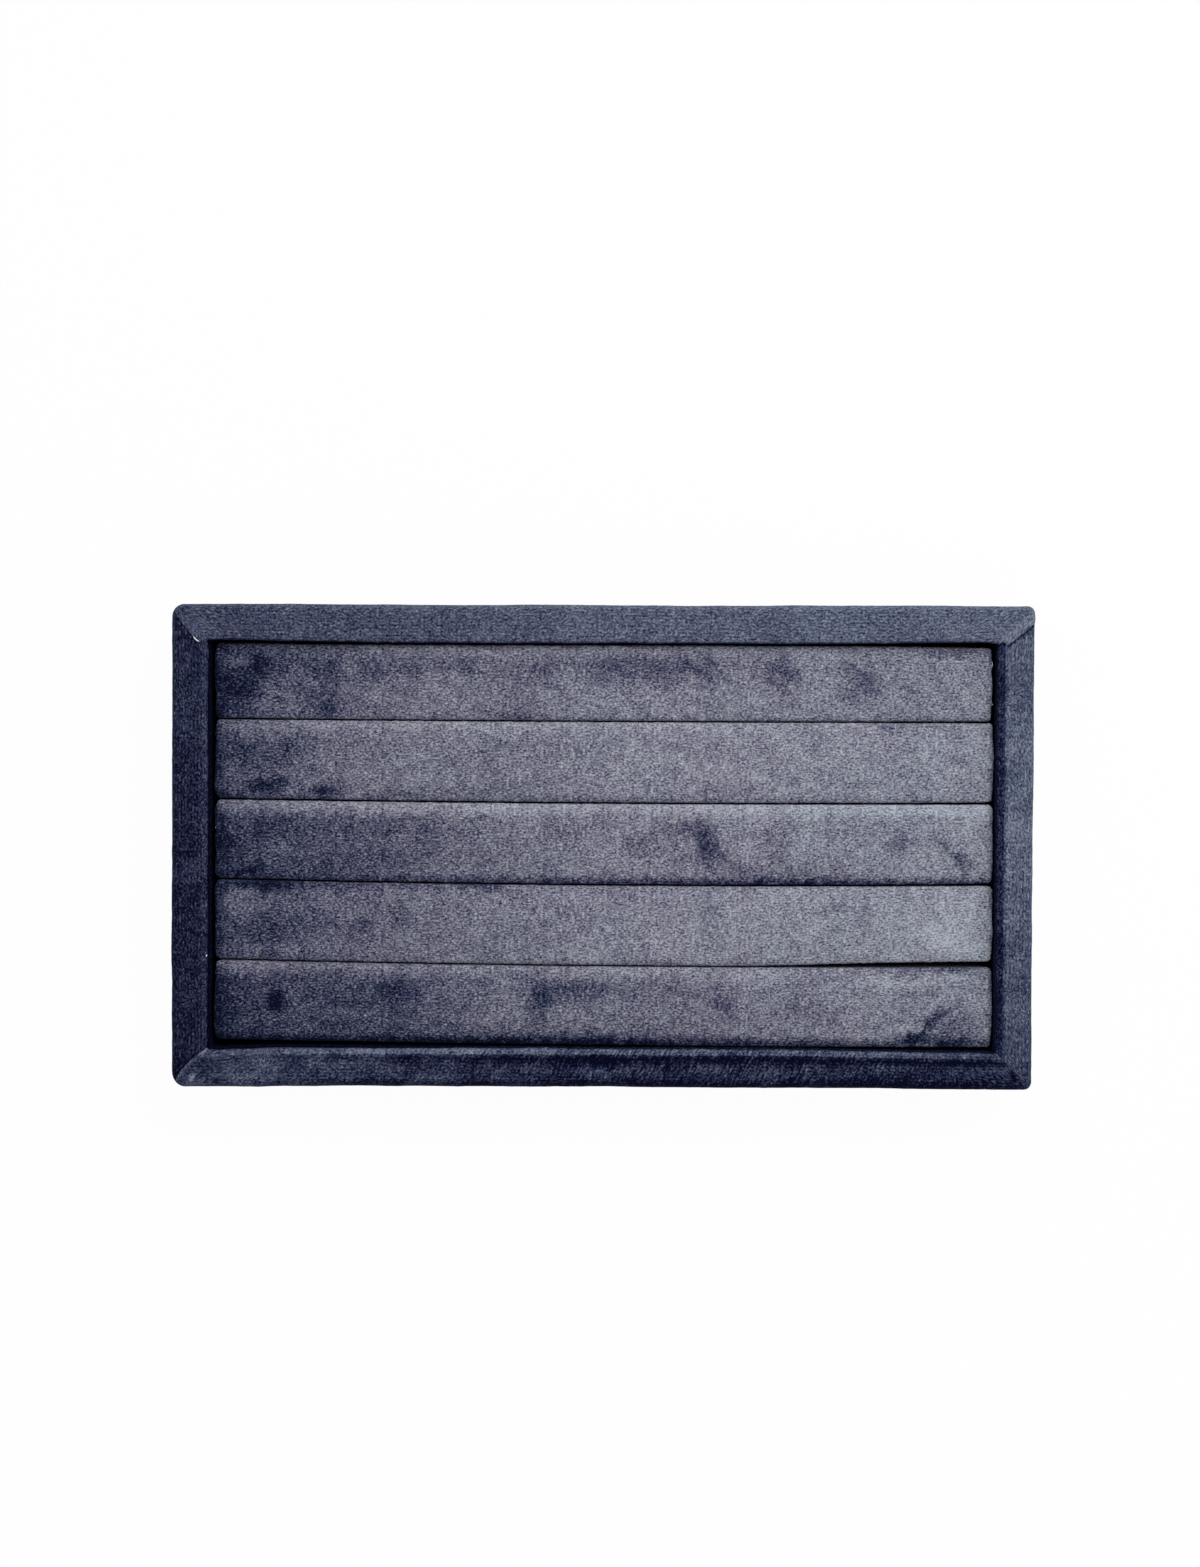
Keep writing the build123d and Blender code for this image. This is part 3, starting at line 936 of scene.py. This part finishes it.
def end_folds(points, bar):
    """The wrap's parcel folds on a bar's ends: one flap down over two side flaps, and one up to it."""
    x, y, z = points.T
    at_end = ease(np.abs(x), bar.length / 2 - 1.2 * MM, bar.length / 2 - 0.4 * MM)
    from_top = bar.height - z
    from_side = bar.width / 2 - 0.3 * MM - np.abs(y)
    upper = from_side - 0.62 * from_top
    lower = from_side - 0.9 * z
    raised = 0.45 * MM * ease(upper, -0.3 * MM, 0.4 * MM)
    raised = np.maximum(raised, 0.3 * MM * ease(lower, -0.3 * MM, 0.4 * MM)) * np.where(x > 0, 0.35, 1.0)
    sunk = 0.25 * MM * (hump(upper, -0.7 * MM, 0.5 * MM) + hump(lower, -0.7 * MM, 0.5 * MM))
    return at_end * ease(from_top, 1.0 * MM, 3.0 * MM) * (raised - sunk)


def bar_nap(bar, points, placed):
    """How light a bar's pile looks, from 0 to 1: its brushed and pressed nap, with painted light and shade
    along its edges and ends.
    """
    number = bar.number
    x, across, from_top = placed[:, 0] / MM, points[:, 1] / MM, bar.height - points[:, 2]
    left, right, reach = BAR_TONES[number]
    flat = np.stack((placed[:, 0], placed[:, 1], np.minimum(1.9 * MM - from_top, 0)), axis=1)
    along = x + mottle(flat, 0.8, 6, 70 + number)
    beside = across + mottle(flat, 0.5, 5, 80 + number)
    frayed = mottle(flat, 0.5, 2.4, 60 + number)
    plain = right - (right - left) * np.exp(-(x + BAR_END) / reach)
    half = np.abs(across).max()
    ends = (-BAR_END, 0, BAR_END)
    rear_start, rear_end, front_end = WIDER_BANDS if number in WIDE_BAND_BARS else BAND_WIDTHS
    # Painted highlight along the rear edge and painted shade along the front edge
    rear_highlight = 1 - ease(half - across + 0.6 * frayed, rear_start, rear_end)
    front_shade = (1 - ease(half + across + frayed, 0.7, front_end)) * (1 + 0.6 * frayed)
    nap = plain + np.interp(x, ends, REAR_EDGE_HIGHLIGHTS[number]) * rear_highlight
    nap += np.interp(x, ends, FRONT_EDGE_SHADES[number]) * front_shade
    # Painted shade where the ends round down into the gaps, wider at the left end, away from the lamp
    nap -= 0.2 * (1 - ease(x + 112.5 + 2 * frayed, 0.4, 3.4)) * (1 + frayed)
    nap -= 0.1 * (1 - ease(113.5 - x, 0.2, 1.0)) * (1 + frayed)
    for mark_x, mark_y, length, width, depth, *turned in NAP_AND_SHADE_MARKS[number]:
        turn = math.radians(sum(turned))
        off_x, off_y = along - mark_x, beside - mark_y
        far_x = (off_x * math.cos(turn) + off_y * math.sin(turn)) / (length / 2)
        far_y = (off_y * math.cos(turn) - off_x * math.sin(turn)) / (width / 2)
        nap += depth * np.exp(-((far_x**2 + far_y**2) ** 1.3) * 0.8)
    nap += mottle(flat, 0.02, 20, 90 + number) + mottle(flat, 0.035, 7, 100 + number)
    nap += mottle(flat, 0.055, 2.8, 110 + number)
    side = 0.3 + 0.4 * (plain - 0.3) + 0.06 * ripple(placed, 8 * MM, 120 + number)
    side += mottle(placed, 0.04, 3, 130 + number)
    return nap + (side - nap) * ease(from_top, 1.8 * MM, 4.6 * MM)


def stand_bar(points, bar):
    """Takes a bar from the origin to its place in the tray."""
    spin = np.array(Matrix.Rotation(bar.turn, 3, "Z"))
    return points @ spin.T + np.array(bar.middle)


def lay_bar_weave(mesh, bar):
    """Runs the rows along the top of a cut box, down its sides and ends and under its foot."""
    blank = read_points(mesh)
    corners = face_corners(mesh)
    middles = blank[corners].mean(axis=1)[:, None]
    blank_x, blank_y, blank_z = (blank[:, axis][corners] for axis in range(3))
    half_x, half_y, half_z = bar.length / 2, bar.width / 2, bar.height / 2
    drop = half_z - blank_z
    end, side = np.sign(middles[..., 0]), np.sign(middles[..., 1])
    along = np.where(np.abs(middles[..., 0]) > half_x - CLOSE, end * (half_x + drop), blank_x)
    section = np.where(np.abs(middles[..., 1]) > half_y - CLOSE, side * (half_y + drop), blank_y)
    section = np.where(middles[..., 2] < CLOSE - half_z, bar.width + bar.height + blank_y, section)
    lay_weave(mesh, along, section)


def bar_velvet(number, bars):
    """A ring bar's velvet wrap, with its nap and weave."""
    bar = bar_place(number)
    size = (bar.length, bar.width, bar.height)
    mesh = as_mesh(cut_box(size, (bars.cell,) * 3), f"ring_bar_{number}_wrap")
    lay_bar_weave(mesh, bar)
    blank = read_points(mesh)
    hem = np.minimum(bar.length / 2 - np.abs(blank[:, 0]), bar.width / 2 - np.abs(blank[:, 1])) - bars.hem
    under = (blank[:, 2] < CLOSE - bar.height / 2) & (hem > 0.1 * MM)

    points = bar_form(mesh, bar, 0, bars)
    x, y, z = points.T
    to_end, to_side = bar.length / 2 - np.abs(x), bar.width / 2 - np.abs(y)
    lift = bars.wave * (ripple(points, 13 * MM, 20 + number) + 0.35 * ripple(points, 4 * MM, 30 + number))
    lift *= ease(z, 0.5 * MM, 4 * MM) * (0.15 + 0.85 * ease(to_side, 0.5 * MM, 1.6 * MM))
    lift += end_folds(points, bar)
    near_top = ease(z, bar.height / 2, bar.height - 3 * MM)
    near_end = (1 - ease(to_end, 0.5 * MM, 2 * MM)) * near_top
    near_slot = (1 - ease(to_side, 0.5 * MM, 1.4 * MM)) * near_top
    lift += MM * mottle(points, np.where(x > 0, 0.07, 0.09), 2.2, 60 + number) * near_end
    lift += MM * mottle(points, 0.035, 2.4, 140 + number) * near_slot
    write_points(mesh, points)
    puff(mesh, lift)
    points = read_points(mesh)
    bow_bar(points, bar)
    points[under, 2] = TUCKED
    placed = stand_bar(points, bar)
    keep_values(mesh, nap=bar_nap(bar, points, placed))
    write_points(mesh, placed)
    return mesh


def bar_foam(number, bars):
    """The foam core inside the wrap, bowed as the wrap is."""
    bar = bar_place(number)
    size = [extent - 2 * bars.skin for extent in (bar.length, bar.width, bar.height)]
    mesh = as_mesh(cut_box(size, FOAM_CELLS), f"ring_bar_{number}_core")
    points = bar_form(mesh, bar, bars.skin, bars)
    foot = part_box(f"ring_bar_{number}_foam")[0].z - bar.middle.z
    points[:, 2] = np.maximum(points[:, 2], foot)
    bow_bar(points, bar)
    write_points(mesh, stand_bar(points, bar))
    return mesh


class BarSettings(bpy.types.PropertyGroup):
    cell: length_property("Cell", "Size of the cloth's mesh cells on the ring bars", 0.62, 0.3)
    edge_radius: length_property("Edge radius", "Rounding of a bar's upper edges", 0.65)
    end_radius: length_property("Corner radius", "Rounding of a bar's standing corners", 1.35)
    foot_radius: length_property("Foot radius", "Rounding of a bar's lower edges", 1)
    crown: length_property("Crown", "How far the midline of a bar stands above its edges", 0.8)
    side_draw: length_property("Side draw", "How far a bar's sides pull in at the foot", 0.35)
    top_swell: length_property("Top swell", "How far a bar's sides swell at the top, into the slots", 0.12)
    end_draw: length_property("End draw", "How far a bar's sides pull in at its ends", 0.05)
    end_drop: length_property("End drop", "How far a bar's ends lie below its middle", 0.5)
    wave: length_property("Wave", "Height of the soft waves in a bar's velvet", 0.1)
    hem: length_property("Hem", "Width of the velvet turned under a bar", 6)
    skin: length_property("Velvet thickness", "Thickness of the velvet round the foam", 0.8, 0.1)


class RINGTRAY_OT_bars(bpy.types.Operator):
    """Make the five ring bars: a velvet wrap over a foam core each"""

    bl_idname = "ring_tray.bars"
    bl_label = "Ring Bars"

    def execute(self, context):
        bars = context.scene.ring_tray_bars
        cloth = context.scene.ring_tray_cloth
        wrap_finish, core_finish = velvet("bar_velvet", cloth), foam_finish(cloth.foam)
        for number in range(1, BAR_COUNT + 1):
            body = f"ring_bar_{number}"
            wrap = show(bar_velvet(number, bars), body, wrap_finish, "bar_velvet", f"{body}_velvet")
            core = show(bar_foam(number, bars), body, core_finish, "foam", f"{body}_foam")
        return {"FINISHED"}


# Lining and felt

LINING_CELL = 1 * MM
LINING_THICKNESS = 0.6 * MM
FELT_CELL = 1.5 * MM

# The felt is thicker from this far inside the outline, between the edges of the turned-under velvet
FELT_FIELD = 8 * MM


def flat_size(node):
    """Depth and length of a sheet that lies flat."""
    low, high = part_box(node)
    return high.y - low.y, high.x - low.x


def lining_mesh():
    """The velvet on the floor of the well, with prints where the bars stand."""
    depth, length = flat_size("floor_lining")
    cells = {"x_segments": round(length / LINING_CELL), "y_segments": round(depth / LINING_CELL)}
    sheet = bmesh.new()
    bmesh.ops.create_grid(sheet, size=0.5, **cells)
    mesh = as_mesh(sheet, "well_lining")
    points = read_points(mesh) * (length, depth, 1)
    corners = face_corners(mesh)
    lay_weave(mesh, points[:, 0][corners], points[:, 1][corners])
    nap = 0.4 + 0.07 * ripple(points, 25 * MM, 51) + 0.05 * ripple(points, 6 * MM, 52)
    pressed = np.zeros(len(points))
    for number in range(1, BAR_COUNT + 1):
        bar = bar_place(number)
        edge_x = bar.length / 2 - np.abs(points[:, 0] - bar.middle.x)
        edge_y = bar.width / 2 - np.abs(points[:, 1] - bar.middle.y)
        pressed = np.maximum(pressed, ease(np.minimum(edge_x, edge_y), -0.4 * MM, 0.6 * MM))
    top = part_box("floor_lining")[1].z
    points[:, 2] = top - 0.05 * MM - 0.1 * MM * pressed + 0.03 * MM * ripple(points, 9 * MM, 53)
    write_points(mesh, points)
    keep_values(mesh, nap=nap - 0.16 * pressed)
    return mesh


def felt_mesh():
    """The felt under the tray: flat on the ground, with a softly rounded edge."""
    depth, length = flat_size("underside_cover")
    sheet = cut_box((length, depth, FOLD_BOTTOM), (FELT_CELL, FELT_CELL, FOLD_BOTTOM / 2))
    mesh = as_mesh(sheet, "base_felt")
    points = read_points(mesh)
    far_x, far_y = np.abs(points[:, 0]), np.abs(points[:, 1])
    level = points[:, 2] / FOLD_BOTTOM + 0.5
    from_edge = np.minimum(length / 2 - far_x, depth / 2 - far_y)
    in_field = np.minimum(HALF_LENGTH - FELT_FIELD - far_x, HALF_DEPTH - FELT_FIELD - far_y)
    rise = level * FOLD_BOTTOM * (1 - 0.35 * (1 - ease(from_edge, 0, 1.2 * MM)))
    fill = (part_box("base_board")[0].z - FOLD_BOTTOM) * ease(in_field, 0, 1.5 * MM)
    wave = 0.02 * MM * np.clip(1 + ripple(points, 12 * MM, 54), 0, None) * ease(from_edge, 0, 6 * MM)
    points[:, 2] = rise + np.where(level > 0.9, fill, 0) + np.where(level < 0.1, wave, 0)
    frayed = 0.25 * MM * np.abs(ripple(points, 30 * MM, 55)) * (1 - ease(from_edge, 0, 3 * MM))
    points[:, :2] -= np.sign(points[:, :2]) * frayed[:, None]
    write_points(mesh, points)
    return mesh


class RINGTRAY_OT_linings(bpy.types.Operator):
    """Lay the velvet in the well and the felt under the tray"""

    bl_idname = "ring_tray.linings"
    bl_label = "Lining and Felt"

    def execute(self, context):
        cloth = context.scene.ring_tray_cloth
        lining = show(lining_mesh(), "tray", velvet("lining_velvet", cloth), "lining_velvet", "floor_lining")
        add_wall(lining, LINING_THICKNESS)
        felt = show(felt_mesh(), "tray", felt_finish(cloth.felt), "felt", "underside_cover")
        return {"FINISHED"}


# Boards and brads


class RINGTRAY_OT_boards(bpy.types.Operator):
    """Finish the boards, backings and brads that stay as they are in the frame"""

    bl_idname = "ring_tray.boards"
    bl_label = "Boards and Brads"

    def execute(self, context):
        cloth = context.scene.ring_tray_cloth
        fibre = board_finish("fibreboard", cloth.fibreboard, 3.0, 0.35)
        grey = board_finish("greyboard", cloth.greyboard, 2.0, 0.3)
        paper = board_finish("backing_paper", cloth.paper, 4.0, 0.4)
        steel = steel_finish()
        kept = {"base_board": fibre, "corner_brads": steel, "base_brads": steel}
        for name in RAIL_NAMES:
            kept[f"{name}_rail"] = fibre
        for number in range(1, BAR_COUNT + 1):
            kept[f"ring_bar_{number}_board"] = grey
            kept[f"ring_bar_{number}_backing"] = paper
        for node, material in kept.items():
            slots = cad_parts[node].material_slots
            if not slots:
                raise RuntimeError(f"{node} has no material slot")
            for slot in slots:
                slot.material = material
        return {"FINISHED"}


# Stray fibres


def fibre_mesh(name, threads):
    """Short pale threads, in millimetres. Each has a place, a length, a turn in degrees and a curl."""
    bundle = bmesh.new()
    for x, y, z, length, turn, curl in threads:
        length, curl = length * MM, curl * MM
        thread = cut_box((length, 0.32 * MM, 0.2 * MM), (length / 10, 0.16 * MM, 0.2 * MM))
        for vertex in thread.verts:
            share = 2 * vertex.co.x / length
            taper = 1 - 0.7 * share**4
            vertex.co.y *= taper
            vertex.co.z *= taper
            vertex.co.y += curl * (share**2 - 0.4)
            vertex.co.z += 0.25 * curl * math.sin(3 * share)
        spin = Matrix.Rotation(math.radians(turn), 3, "Z")
        bmesh.ops.rotate(thread, verts=thread.verts, cent=(0, 0, 0), matrix=spin)
        bmesh.ops.translate(thread, verts=thread.verts, vec=Vector((x, y, z)) * MM)
        part = as_mesh(thread, "thread")
        bundle.from_mesh(part)
        bpy.data.meshes.remove(part)
    return as_mesh(bundle, name)


class RINGTRAY_OT_fibres(bpy.types.Operator):
    """Drop a few stray threads on the rails and on three ring bars"""

    bl_idname = "ring_tray.fibres"
    bl_label = "Stray Fibres"

    def execute(self, context):
        bar = bar_place(1)
        rim = TRAY_TOP / MM
        top = (bar.middle.z + bar.height) / MM
        end = (bar.middle.x + bar.length / 2 + RIGHT_SWELLS[0]) / MM
        threads = {
            "rail": [
                (-117.6, 59.6, rim + 0.55, 2.3, -42, 0.15),
                (-114.9, -32.2, rim - 0.3, 1.3, 50, 0.12),
            ],
            "ring_bar_1": [
                (end - 0.1, 53, top - 1.6, 2.4, 80, 0.2),
                (end + 0.1, 41.8, top - 2, 0.9, 15, 0.1),
            ],
            "ring_bar_2": [
                (-112.3, 28.3, top - 1, 0.5, 30, 0.05),
            ],
            "ring_bar_3": [
                (-112.6, 5.1, top - 1, 0.45, 70, 0.05),
                (-112.3, 2.1, top - 1, 0.5, -20, 0.05),
            ],
        }
        pale = thread_finish()
        for name, strands in threads.items():
            body, slot = ("tray", "rail_velvet") if name == "rail" else (name, "bar_velvet")
            show(fibre_mesh(f"{name}_fibres", strands), body, pale, slot)
        return {"FINISHED"}


# Colours


class ClothSettings(bpy.types.PropertyGroup):
    rail_dark: colour_property("Rail dark", "Rails' velvet where the pile leans from the light", 9, 12, 37)
    rail_dusky: colour_property("Rail dusky", "Rails' velvet where the pile stands", 38, 43, 70)
    rail_middle: colour_property("Rail middle", "Rails' velvet between dusky and light", 74, 80, 102)
    rail_light: colour_property("Rail light", "Rails' velvet where it leans to the light", 115, 121, 139)
    bar_dark: colour_property("Bar dark", "Bars' velvet where the pile is pressed", 16, 21, 46)
    bar_dusky: colour_property("Bar dusky", "Bars' velvet where the pile stands", 50, 57, 83)
    bar_middle: colour_property("Bar middle", "Bars' velvet between dusky and light", 107, 105, 122)
    bar_light: colour_property("Bar light", "Bars' velvet where it leans to the light", 150, 153, 166)
    felt: colour_property("Felt", "Felt under the tray", 38, 40, 50)
    fibreboard: colour_property("Fibreboard", "Base board and rails under the velvet", 172, 143, 112)
    foam: colour_property("Foam", "Foam inside the ring bars", 196, 194, 186)
    greyboard: colour_property("Greyboard", "Stiffener board inside the ring bars", 148, 145, 138)
    paper: colour_property("Backing paper", "Backing strip under the ring bars", 62, 64, 76)
    rail_row: length_property("Rail rows", "Distance between rows of pile on the rails", 0.93, 0.2)
    bar_row: length_property("Bar rows", "Distance between rows of pile on the ring bars", 0.65, 0.2)


# Stage

# The share of plain white in the floor as the camera sees it
FLOOR_GLOW = 0.965

SENSOR_WIDTH = 36


class StageSettings(bpy.types.PropertyGroup):
    lens: FloatProperty(name="Lens", description="Focal length of the camera, for a 36 mm sensor",
                        default=47.55, min=1, unit="CAMERA")
    distance: length_property("Camera distance", "From the camera to the tray's rim", 600.8, 100)
    aim: FloatVectorProperty(name="Aim", description="Point that the camera looks at",
                             default=(-0.00085, 0.01837, 0.028), subtype="TRANSLATION", unit="LENGTH")
    tilt: FloatProperty(name="Tilt", description="How far the camera leans from straight above",
                        default=math.radians(1.13), subtype="ANGLE", unit="ROTATION")
    roll: FloatProperty(name="Roll", description="Turn of the camera about its own axis",
                        default=math.radians(0.24), subtype="ANGLE", unit="ROTATION")
    key_power: FloatProperty(name="Key light", description="Power of the large soft lamp",
                             default=6.0, min=0, unit="POWER")
    sky_level: FloatProperty(name="Room light", description="Strength of the even light from all round",
                             default=0.5, min=0)


def stage_floor():
    """A pale floor that stays white to the camera and keeps a faint shadow of the tray."""
    sheet = bmesh.new()
    bmesh.ops.create_grid(sheet, x_segments=8, y_segments=8, size=4.0)
    floor = bpy.data.objects.new("studio_floor", as_mesh(sheet, "studio_floor"))
    bpy.context.scene.collection.objects.link(floor)
    finish = Finish("studio_floor", 0.9, 0.0, **{"Base Color": (0.96, 0.96, 0.96, 1)})
    glow = finish.add("ShaderNodeEmission", {"Strength": 1.0}).outputs["Emission"]
    share = finish.number("MULTIPLY", finish.direct_rays(), FLOOR_GLOW)
    finish.feed(finish.output.inputs["Surface"], finish.blend(share, finish.shader.outputs["BSDF"], glow))
    floor.data.materials.append(finish.material)


def stage_world(level):
    """Even white light, and a white background to the camera."""
    world = bpy.data.worlds.new("studio")
    world.use_nodes = True
    nodes = Nodes(world.node_tree)
    room, backdrop = (
        nodes.add("ShaderNodeBackground", {"Color": (1, 1, 1, 1), "Strength": strength}).outputs["Background"]
        for strength in (level, 1.0)
    )
    nodes.add("ShaderNodeOutputWorld", {"Surface": nodes.blend(nodes.direct_rays(), room, backdrop)})
    bpy.context.scene.world = world


def stage_lamp(name, place, aim, size, power):
    """A soft square lamp."""
    data = bpy.data.lights.new(name, "AREA")
    data.shape = "SQUARE"
    data.size = size
    data.energy = power
    lamp = bpy.data.objects.new(name, data)
    bpy.context.scene.collection.objects.link(lamp)
    lamp.location = place
    lamp.rotation_euler = (Vector(aim) - Vector(place)).to_track_quat("-Z", "Y").to_euler()


def stage_camera(stage):
    """The camera above the tray, almost straight down."""
    data = bpy.data.cameras.new("camera")
    data.sensor_width = SENSOR_WIDTH
    data.lens = stage.lens
    camera = bpy.data.objects.new("camera", data)
    bpy.context.scene.collection.objects.link(camera)
    down = Vector((0, -math.sin(stage.tilt), -math.cos(stage.tilt)))
    camera.location = Vector(stage.aim) - down * stage.distance
    camera.rotation_euler = Euler((-stage.tilt, 0, stage.roll))
    bpy.context.scene.camera = camera


class RINGTRAY_OT_stage(bpy.types.Operator):
    """Set out the floor, the light and the camera"""

    bl_idname = "ring_tray.stage"
    bl_label = "Stage"

    def execute(self, context):
        stage = context.scene.ring_tray_stage
        stage_floor()
        stage_world(stage.sky_level)
        stage_lamp("key_lamp", (0.35, 0.5, 0.85), (0, 0, 0), 0.7, stage.key_power)
        stage_camera(stage)
        context.scene.view_settings.view_transform = "Standard"
        return {"FINISHED"}


class RINGTRAY_PT_tray(bpy.types.Panel):
    """Steps that build the ring tray, in their order"""

    bl_idname = "RINGTRAY_PT_tray"
    bl_label = "Ring Tray"
    bl_space_type = "VIEW_3D"
    bl_region_type = "UI"
    bl_category = "Ring Tray"

    def draw(self, context):
        for step in STEPS:
            self.layout.operator(step.bl_idname)


STEPS = (
    RINGTRAY_OT_rails,
    RINGTRAY_OT_bars,
    RINGTRAY_OT_linings,
    RINGTRAY_OT_boards,
    RINGTRAY_OT_fibres,
    RINGTRAY_OT_stage,
)
SETTINGS = {
    "ring_tray_rails": RailSettings,
    "ring_tray_bars": BarSettings,
    "ring_tray_cloth": ClothSettings,
    "ring_tray_stage": StageSettings,
}


def register():
    for group in (*SETTINGS.values(), *STEPS, RINGTRAY_PT_tray):
        bpy.utils.register_class(group)
    for name, group in SETTINGS.items():
        setattr(bpy.types.Scene, name, PointerProperty(type=group))


def unregister():
    for name in SETTINGS:
        delattr(bpy.types.Scene, name)
    for group in reversed((*SETTINGS.values(), *STEPS, RINGTRAY_PT_tray)):
        bpy.utils.unregister_class(group)


def main():
    register()
    bpy.ops.ring_tray.rails()
    bpy.ops.ring_tray.bars()
    bpy.ops.ring_tray.linings()
    bpy.ops.ring_tray.boards()
    bpy.ops.ring_tray.fibres()
    bpy.ops.ring_tray.stage()


if __name__ == "__main__":
    main()
